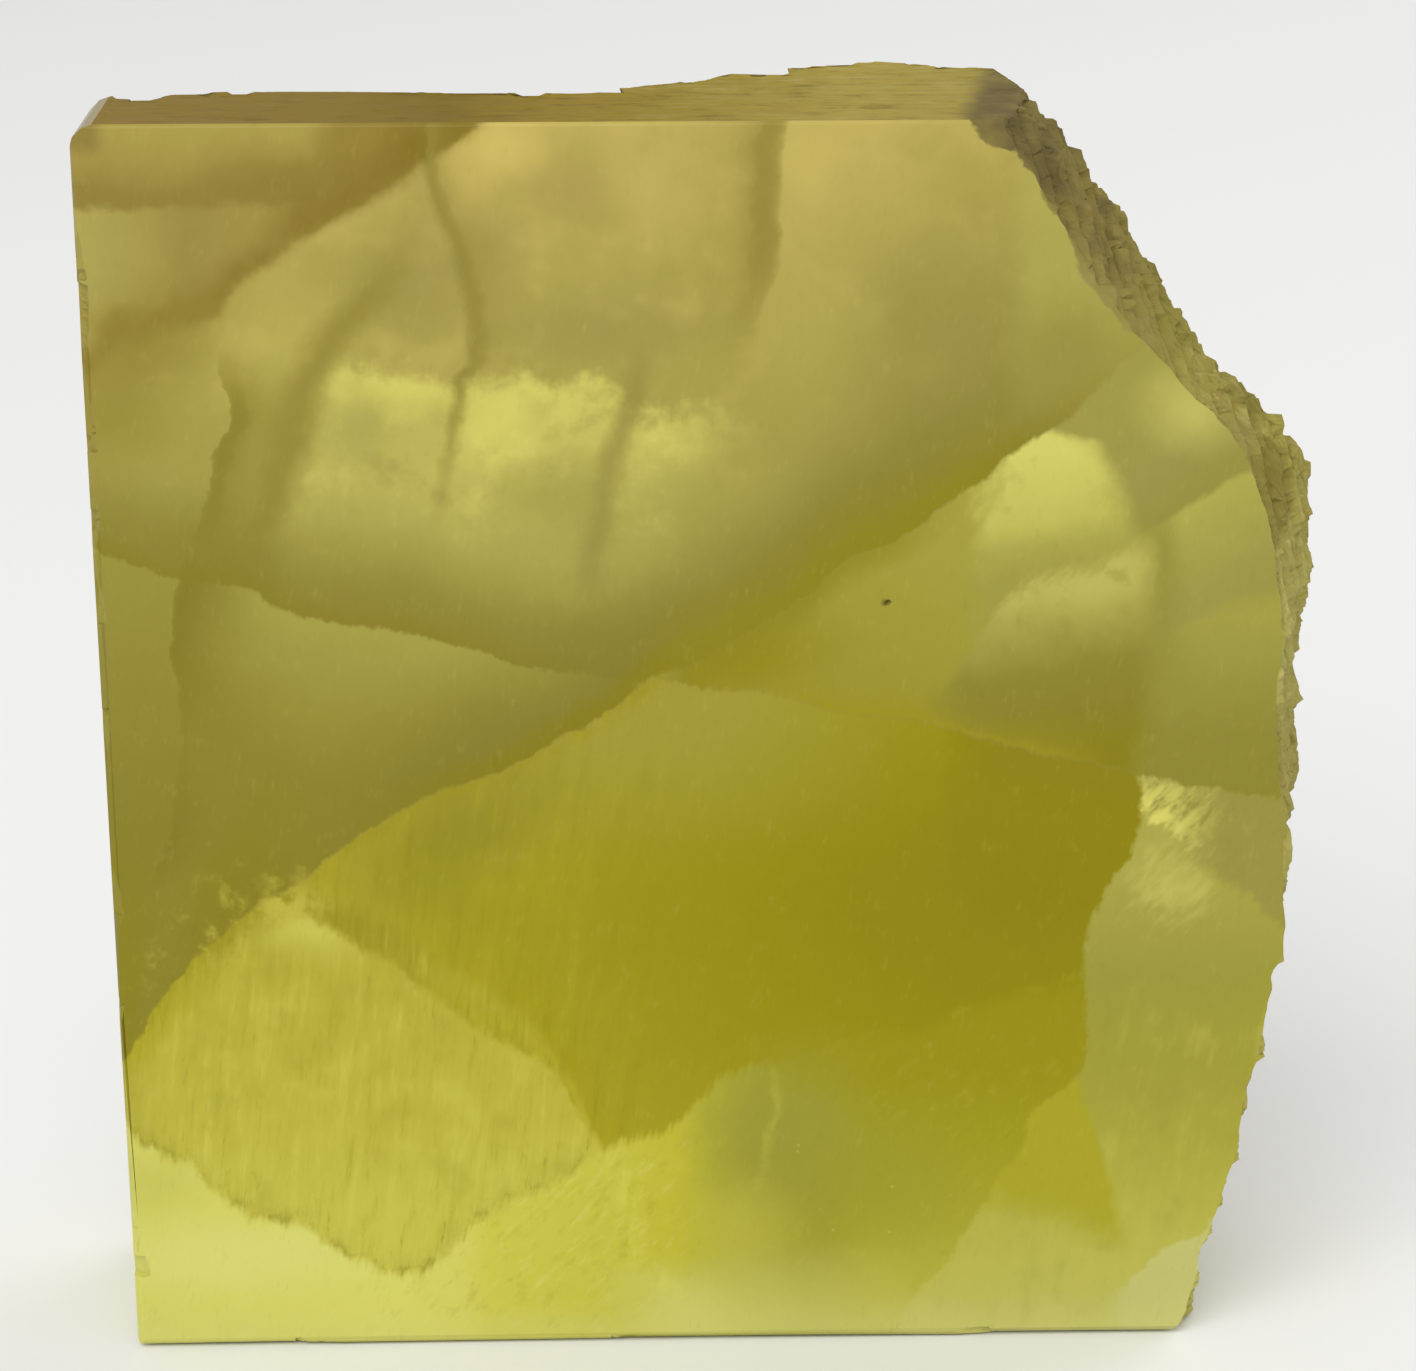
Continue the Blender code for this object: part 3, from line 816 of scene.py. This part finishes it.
# Right of the crossing, between the two cracks: two bright lobes with feathery edges.
wedge = below_main * above_arc * line_x.rises(-5.0, -2.0)
wedge_colour = ramp(line_z + line_x * 0.35, [
    (64.0, "968C30"), (72.0, "9B9135"), (84.0, "A2993F"), (96.0, "A89E44"),
])
wedge_colour = blend(wedge_colour, "91861F", spot(3.6, 67.4, 7.0, 3.0, 0.95, turn=0.3))
wedge_colour = blend(wedge_colour, GOLD, arc.trails(1.6, 0.8) * line_x.rises(4.0, 12.0))
wedge_colour = blend(wedge_colour, "8C8121", main.rises(-3.2, -0.3, 0.7) * line_x.rises(25.0, 14.0))
lobe_top = over(LOBE_TOP, torn=-strokes * 1.4)
upper_lobe = ramp(line_z - line_x * 0.15 + puffs * 1.0, [
    (70.5, "9E9746"), (73.5, "A8A24D"), (76.2, "BEB85B"), (79.0, "C8C262"), (82.0, "D1CB6A"),
])
upper_lobe = blend(upper_lobe, "A9A24C", (milk + puffs).rises(0.0, -0.7, 0.5))
in_upper = (line_x + strokes * 1.2 + puffs * 3.0).rises(22.6, 26.8, 0.95)
wedge_colour = blend(wedge_colour, upper_lobe, in_upper)
lower_lobe = ramp(line_z - line_x * 0.12 + puffs * 0.8, [
    (54.5, "887D1E"), (59.0, "887E2E"), (62.5, "8C8335"), (67.0, "A59D4A"), (70.0, "B9B15A"),
])
lower_lobe = blend(lower_lobe, "8F8639", (milk + puffs).rises(0.0, -0.7, 0.4))
in_lower = lobe_top.rises(0.8, -1.4) * line_x.rises(17.0, 24.0)
wedge_colour = blend(wedge_colour, lower_lobe, in_lower)
wedge_colour = blend(wedge_colour, GOLD, arc.trails(1.4, 0.7) * line_x.within(8.0, 34.0, 4.0))

# The flank right of the lobes, in three pieces that each darken downwards.
past_ridge = past(RIDGE)
above_ray = line_z - line_x * 0.63 - 54.3
upper_flank = ramp(above_ray + puffs * 0.8, [(0.0, "928C41"), (5.0, "98924A"), (12.0, "9C9548")])
upper_flank = blend(upper_flank, "BEB65F", spot(43.4, 90.6, 3.8, 3.4, 0.95))
flank_colour = ramp(above_ray + puffs, [
    (-16.0, "958F41"), (-9.0, "9B944A"), (-4.0, "A49E4C"), (0.0, "ACA650"),
])
flank_colour = blend(flank_colour, "958F42", line_x.rises(43.0, 40.5, 0.7))
lower_flank = ramp(line_z + puffs, [(54.0, "8B8434"), (60.0, "8D8638"), (66.0, "979041"), (71.0, "A19A46")])
below_step = over(STEP, torn=milk * 1.4).rises(0.7, -0.9)
flank_colour = blend(flank_colour, lower_flank, below_step * line_x.rises(38.4, 40.2))
flank_colour = blend(flank_colour, upper_flank, above_ray.rises(-0.4, 0.5))
ridge_veil = (past_ridge - 0.9).bell(2.1, 0.75)
flank_colour = blend(flank_colour, "918B3D", ridge_veil * line_z.within(62.0, 79.0, 3.0))
wedge_colour = blend(wedge_colour, flank_colour, (past_ridge + puffs * 1.2).rises(-1.9, 1.5))
colour = blend(colour, wedge_colour, wedge)

# The clear olive heart, below both cracks.
heart_here = below_main * below_arc.at_least(line_x.rises(-2.0, -5.0))
heart_x, heart_z = (x - 30.0) / 44.0, (z - 44.0) / 26.0
from_heart = (heart_x * heart_x + heart_z * heart_z).maths("SQRT") + clouds * 0.08
heart = ramp(from_heart, [
    (0.0, "8B8010"), (0.35, "8F8514"), (0.6, "948A18"), (0.85, "998F1D"), (1.1, "A09624"), (1.4, "A79C2E"),
])
heart = blend(heart, "A0963E", line_z.rises(46.0, 64.0, 0.85) * line_x.rises(24.0, -4.0))
heart = blend(heart, "8B7F14", line_x.rises(20.8, 22.6, 0.45) * line_z.rises(42.0, 50.0))
heart = blend(heart, "A39A14", over(KITE_RIM).rises(9.0, 0.0, 0.3) * line_z.rises(50.0, 32.0))
heart = blend(heart, "8F8528", spot(-23.0, 51.5, 9.0, 4.4, 0.8, turn=0.6))
heart = blend(heart, "979022", spot(-24.0, 44.6, 5.0, 3.4, 0.6, turn=-0.6))
heart = blend(heart, "8A7F1E", arc.rises(-7.0, -1.2, 0.8) * line_x.rises(22.0, 27.0))
heart = blend(heart, GOLD, main.rises(-2.2, -0.2, 0.8) * milk.rises(-0.25, 0.2) * line_x.rises(4.0, -6.0))
heart = blend(heart, "B0A630", streaks.rises(0.0, 0.5, 0.3) * line_x.rises(4.0, -14.0))
heart = blend(heart, "877D16", streaks.rises(0.0, -0.5, 0.25) * line_x.rises(4.0, -14.0))
below_line = over(HEART_LINE, torn=fine * 0.8)
heart = blend(heart, "9C9220", below_line.rises(0.6, -1.6, 0.5) * line_x.rises(6.0, 12.0))
heart = blend(heart, "A39926", below_line.bell(0.5, 0.4) * puffs.rises(-0.1, 0.3) * line_x.rises(6.0, 12.0))
colour = blend(colour, heart, heart_here)

# The kite: fibrous and milky, its edges ragged, with a second edge close outside the first.
kite_foot = over(FOOT, torn=ragged * 0.9 + streaks * 1.2) * 0.9
kite_top = over(KITE_TOP, torn=ragged * 0.6 + streaks) * 0.8
kite_rim = over(KITE_RIM, torn=ragged * 0.8) * 0.8
kite_left = over(KITE_LEFT, torn=ragged * 0.5) * 0.8
threaded = streaks + fibres * 0.8
rim = ramp(line_z, [
    (18.0, "B9AF3C"), (30.0, "AEA42E"), (37.0, "A99F30"), (42.0, "9A9028"), (47.0, "968C26"),
])
rim = blend(rim, "C3BA48", threaded.rises(0.0, 0.7, 0.5))
rim = blend(rim, "8F8525", threaded.rises(0.0, -0.7, 0.5))
in_rim = kite_rim.rises(0.8, -1.2) * below_main
colour = blend(colour, rim, in_rim * 0.9)
kite = ramp(z + puffs * 1.5, [
    (8.0, "C8C151"), (15.0, "C3BC4D"), (22.0, "BCB344"), (32.0, "B6AD3E"), (44.0, "B0A63A"),
])
kite = blend(kite, "D0C95D", threaded.rises(0.0, 0.8, 0.5))
kite = blend(kite, "9E9432", threaded.rises(0.0, -0.8, 0.5))
kite = blend(kite, "C9C255", puffs.rises(0.0, 0.4, 0.4))
kite = blend(kite, "A89F38", puffs.rises(0.0, -0.4, 0.4))
kite = blend(kite, "AAA03A", x.rises(-50.0, -55.0, 0.5))
kite = blend(kite, "CDC55A", spot(-37.0, 43.0, 5.0, 3.0, 0.7, turn=-0.2))
near_edge = kite_top.rises(-5.0, -1.0).at_least(kite_foot.rises(5.0, 1.0))
dark_dashes = dashes.rises(0.15, 0.5, 0.5) * threaded.rises(0.1, -0.4)
kite = blend(kite, "8B812B", dark_dashes * (near_edge * 0.6 + 0.4))
in_kite = kite_top.rises(0.6, -0.8) * kite_left.rises(1.4, -2.2) * below_main
colour = blend(colour, kite, in_kite)
blotched = (streaks + milk).rises(-0.3, 0.45)
colour = blend(colour, "91872D", kite_foot.trails(0.9, 0.62, soft=0.5) * blotched * in_kite)
kite_shadow = kite_top.trails(0.8, 0.55, soft=0.4) * in_rim * blotched
colour = blend(colour, "958A20", kite_shadow * line_z.rises(20.0, 26.0))
rubble = spot(-44.5, 43.0, 9.0, 3.0, turn=0.62)
colour = blend(colour, "C2B84C", spot(-38.8, 44.5, 3.0, 2.0, 0.8) * (milk + fine).rises(-0.5, 0.2))
colour = blend(colour, "BBB146", milk.rises(0.0, 0.4, 0.6) * rubble)
colour = blend(colour, "7F7524", milk.rises(-0.05, -0.4, 0.5) * rubble)
past_rim = (-kite_rim).rises(-12.0, -4.0) * fibres.rises(0.0, -0.5, 0.35) * line_z.rises(58.0, 44.0)
colour = blend(colour, "8F8518", past_rim * heart_here * line_x.rises(2.0, -10.0) * (1.0 - in_kite))

# The foot of the stone, pale and clear, greyer in the middle.
foot_colour = ramp(line_x + strokes * 1.6, [
    (-54.0, "D0CD66"), (-30.0, "D5D26A"), (-23.6, "D3CD62"), (-21.6, "CCC651"), (-10.0, "C4BE48"),
    (-4.0, "BFB73B"), (0.0, "AEA837"), (4.0, "A09A34"), (10.0, "9C9734"), (17.0, "9F9A31"),
])
foot_right = ramp(z + puffs, [
    (0.0, "BAB65C"), (5.0, "B5B046"), (12.0, "A7A134"), (20.0, "9E9724"), (28.0, "968D1C"),
])
foot_colour = blend(foot_colour, foot_right, line_x.rises(7.0, 17.0))
foot_colour = blend(foot_colour, "DCD888", strokes.rises(0.0, 0.6, 0.3) * line_x.rises(4.0, -8.0))
foot_darks = (strokes + milk).rises(0.0, -0.8, 0.5) * line_x.rises(-40.0, -20.0)
foot_colour = blend(foot_colour, "AFA73A", foot_darks)
foot_colour = patches(foot_colour, [
    ("97943B", 6.0, 21.0, 6.0, 6.5, 0.8), ("9A9634", 15.0, 17.0, 7.0, 5.5, 0.6),
    ("C2BC50", 2.4, 11.0, 4.6, 4.6, 0.5), ("D8D77A", -45.0, 9.0, 12.0, 3.4, 0.8),
    ("C4C05C", -53.0, 17.0, 5.0, 3.0, 0.7), ("C9C66A", 4.5, 3.0, 10.0, 4.6, 0.75),
])
past_light = past(BAND, torn=milk * 0.5)
light_line = past_light.bell(1.2, 0.85) * blotched
foot_colour = blend(foot_colour, "CFC955", light_line * line_z.within(3.5, 19.0, 2.0))
foot_colour = blend(foot_colour, "CCCC70", past_light.bell(5.0, 0.7) * line_z.rises(10.0, 3.0))
lit_crack = past(LIT_CRACK, torn=milk * 0.4)
lit_share = milk.rises(-0.5, 0.3, 0.55) * line_z.within(15.0, 27.5, 0.8)
foot_colour = blend(foot_colour, "B5AF48", lit_crack.bell(0.5) * lit_share)
sharp_foot = kite_foot.rises(0.6, -0.9) * line_x.rises(9.0, 2.0)
foot_here = (sharp_foot + line_x.rises(2.0, 9.0) * line_z.rises(33.0, 22.0)) * below_main
colour = blend(colour, foot_colour, foot_here)

# The pale column down the right side, with a fan of feathery grain near its head.
column = past(COLUMN, torn=ragged * 0.3 + milk * 0.8)
in_column = column.rises(-0.3, 0.5) * below_arc
column_colour = ramp(z + puffs * 0.8, [
    (0.0, "BDBA66"), (6.0, "BAB655"), (12.0, "B4AF4B"), (20.0, "A8A240"), (28.0, "9F9A3B"),
    (36.0, "9B963D"), (42.0, "A29B44"), (50.0, "AAA34C"),
])
column_lights = (streaks + puffs).rises(0.0, 0.7, 0.35)
column_colour = blend(column_colour, "C3BC58", column_lights * z.rises(38.0, 28.0))
column_colour = blend(column_colour, "938E3C", (streaks * 0.5 + puffs).rises(0.0, -0.7, 0.35))
column_glow = spot(42.4, 45.6, 4.0, 4.0) + puffs * 0.6 + strokes * 0.5
column_colour = blend(column_colour, "BFB75D", column_glow.rises(0.2, 1.1, 0.9))
fan_colour = blend(srgb("A39B4C"), "C2BA62", strokes.rises(0.0, 0.5, 0.8))
fan_colour = blend(fan_colour, "888036", strokes.rises(-0.05, -0.5, 0.65))
fan_colour = blend(fan_colour, "968D43", line_x.rises(44.0, 47.5, 0.88))
fan_light = spot(40.6, 52.0, 3.8, 3.2, 0.95)
fan_colour = blend(fan_colour, "D6CE68", fan_light * (strokes + milk).rises(-0.5, 0.3))
in_fan = over(FAN_FOOT, torn=strokes * 1.6).rises(-0.6, 0.8)
column_colour = blend(column_colour, fan_colour, in_fan)
left_of_edge = (line_x + line_z * 0.26).rises(41.8, 40.4, 0.85)
olive_wedge = left_of_edge * line_z.rises(26.9, 25.7)
olive_wedge *= (line_z + line_x * 0.3 + strokes).rises(19.0, 24.0)
column_colour = blend(column_colour, "A8A027", olive_wedge)
corner = line_z - line_x * 0.75 + 23.5 + ragged * 0.4 + milk * 1.2
column_colour = blend(column_colour, "C3C178", corner.rises(0.4, -0.4, 0.8) * line_x.rises(36.5, 39.0))
colour = blend(colour, column_colour, in_column)

# A paler band along the very foot, painted light where light comes in through the base, fine mottling all
# through, a few white specks, and painted shade in the open pit.
# Painted light: a pale glow along the very foot.
colour = blend(colour, "CFCD78", line_z.rises(5.0, 0.0, 0.45) * below_main)
mottle = milk * 0.6 + dashes * 0.5
colour = blend(colour, "D2C96A", mottle.rises(0.05, 0.7, 0.16))
colour = blend(colour, "746A20", mottle.rises(-0.05, -0.7, 0.16))
specks = Shade.node("ShaderNodeTexVoronoi", sockets={"Vector": place, "Scale": 0.42}, output=0)
colour = blend(colour, "C9C468", specks.rises(0.09, 0.03, 0.6) * spot(12.0, 16.0, 8.0, 9.0))
# Painted shade in the open pit.
colour = blend(colour, "4A4420", spot(16.3, 72.8, 0.28, 0.28, 0.9))

# The gloss adds a little white light, so under it the body is deeper than it looks.
BODY_SHARE = (0.965, 0.965, 0.96)
GLOSS_ADDS = (0.004, 0.004, 0.0088)
BLACK = (0.0, 0.0, 0.0)
body_sockets = {0: colour, 1: BODY_SHARE, 2: [-value for value in GLOSS_ADDS]}
colour = Shade.node("ShaderNodeVectorMath", {"operation": "MULTIPLY_ADD"}, body_sockets)
colour = Shade.node("ShaderNodeVectorMath", {"operation": "MAXIMUM"}, {0: colour, 1: BLACK})


# The stone's finish: a soft polish on the flats, a duller brown skin on the sawn top, darkened with painted
# shade, and a rough weathered skin on the break, brown grey high on the right side, deepened there with
# painted shade, and fibrous below that, where it is painted pale as painted light for the glow through the
# stone.

broken = Shade.node("ShaderNodeAttribute", {"attribute_name": "broken"}, output=2)
cleaved = Shade.node("ShaderNodeAttribute", {"attribute_name": "cleaved"}, output=2)
sawn_top = Shade.node("ShaderNodeAttribute", {"attribute_name": "sawn_top"}, output=2)
saw_marks = grain(stretched(x=0.12), 0.9, roughness=0.6)
# The sawn top's brown, painted darker than the face: partly its own weathered colour, partly painted shade,
# as the top takes less light than the face.
top_brown_and_shade = ramp(x + puffs * 6.0, [
    (-55.0, "877034"), (-40.0, "836E2F"), (-32.0, "826E2C"), (-22.0, "7A6622"), (-14.0, "8B7628"),
    (-2.0, "917F2E"), (14.0, "A18F40"), (26.0, "9A8A3E"),
])
top_brown_and_shade = blend(top_brown_and_shade, "AA9B5C", (saw_marks + milk).rises(0.0, 0.7, 0.6) * x.rises(-20.0, 8.0))
top_brown_and_shade = blend(top_brown_and_shade, "6A5828", (saw_marks + milk).rises(-0.05, -0.7, 0.5))
colour = blend(colour, top_brown_and_shade, sawn_top)

threads = grain(stretched(z=0.16, turn=math.radians(32.0)), 0.9, detail=3.0, roughness=0.65)
# The break's colour up the stone: pale up to about 80 mm, painted light that stands in for light glowing
# through it there, and brown above.
break_colour_and_glow = ramp(z + puffs * 3.0, [
    (4.0, "BAB364"), (26.0, "AEA558"), (46.0, "B1A85F"), (70.0, "BBB26C"), (83.0, "A1964F"),
    (89.0, "84783E"), (97.0, "7E7239"),
])
colour = blend(colour, break_colour_and_glow, broken * 0.6)
colour = blend(colour, "BAB064", broken * cleaved * 0.3)
fibrous = broken * (1.0 - cleaved * 0.75)
colour = blend(colour, "CCC27A", fibrous * threads.rises(0.05, 0.5, 0.5) * z.rises(99.0, 86.0))
colour = blend(colour, "6E6230", fibrous * threads.rises(-0.05, -0.5, 0.6) * z.rises(-12.0, 40.0))

# The weathered skin laps a little over the polished face along the broken corner. Its dark brown grey is
# the skin's own colour deepened with painted shade, where little light reaches.
skin_patches = grain(stretched(z=0.7), 6.0, roughness=0.62)
corner_skin = past(SKIN, torn=milk * 0.9).rises(-0.15, 0.35) * z.rises(96.0, 99.0)
corner_skin = corner_skin.at_least((x - y * 0.16 + milk * 1.6 + puffs).rises(21.4, 23.8) * sawn_top)
# High on the break the skin is painted darker still: painted shade where little light reaches.
shaded_cap = (z + puffs * 3.0 - y.rises(0.0, 14.0, 11.0)).rises(93.5, 98.0, 0.9)
skin_here = corner_skin.at_least(broken * shaded_cap.at_least(skin_patches.rises(0.05, 0.4, 0.5)))
skin_and_shade_colour = ramp(puffs + milk * 0.7 + (111.0 - z) * 0.06, [
    (-0.8, "5A4E30"), (-0.3, "6A5D38"), (0.1, "7A6D3C"), (0.5, "897C42"), (0.9, "978B50"),
])
skin_and_shade_colour = blend(skin_and_shade_colour, "8C8040", z.rises(103.0, 98.5, 0.8) * corner_skin)
colour = blend(colour, skin_and_shade_colour, skin_here * 0.92)
facet = spot(49.9, 81.0, 2.3, 4.0, turn=0.5) * y.rises(12.0, 3.0) + threads * 0.3 + milk * 0.3
facet = facet.rises(0.3, 0.55, 0.85)
colour = blend(colour, "7F7335", broken * facet * 0.8)

CALCITE_IOR = 1.6
SHINE = 0.05
POLISH, POLISH_ROUGHNESS = 0.15, 0.08
CLEAVAGE_POLISH = 0.25
FLAT_ROUGHNESS = 0.22
BREAK_ADDS, CLEAVAGE_TAKES = 0.46, 0.22
BUMP = {"Strength": 0.5, "Distance": 0.0003}
rough = broken.at_least(sawn_top).at_least(corner_skin)
roughness = FLAT_ROUGHNESS + rough * BREAK_ADDS - cleaved * CLEAVAGE_TAKES
polish = (1.0 - rough) * POLISH + cleaved * CLEAVAGE_POLISH
bump_height = threads * fibrous + saw_marks * sawn_top
bump = Shade.node("ShaderNodeBump", sockets={**BUMP, "Height": bump_height})

varying = {"Base Color": colour, "Roughness": roughness, "Coat Weight": polish, "Normal": bump}
for name, value in varying.items():
    Shade.tree.links.new(value.socket, shader.inputs[name])
shader.inputs["IOR"].default_value = CALCITE_IOR
shader.inputs["Specular IOR Level"].default_value = SHINE
shader.inputs["Coat Roughness"].default_value = POLISH_ROUGHNESS
stone_data.materials.clear()
stone_data.materials.append(calcite)

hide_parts("lemon_calcite_block")
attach(calcite_stone, "root")
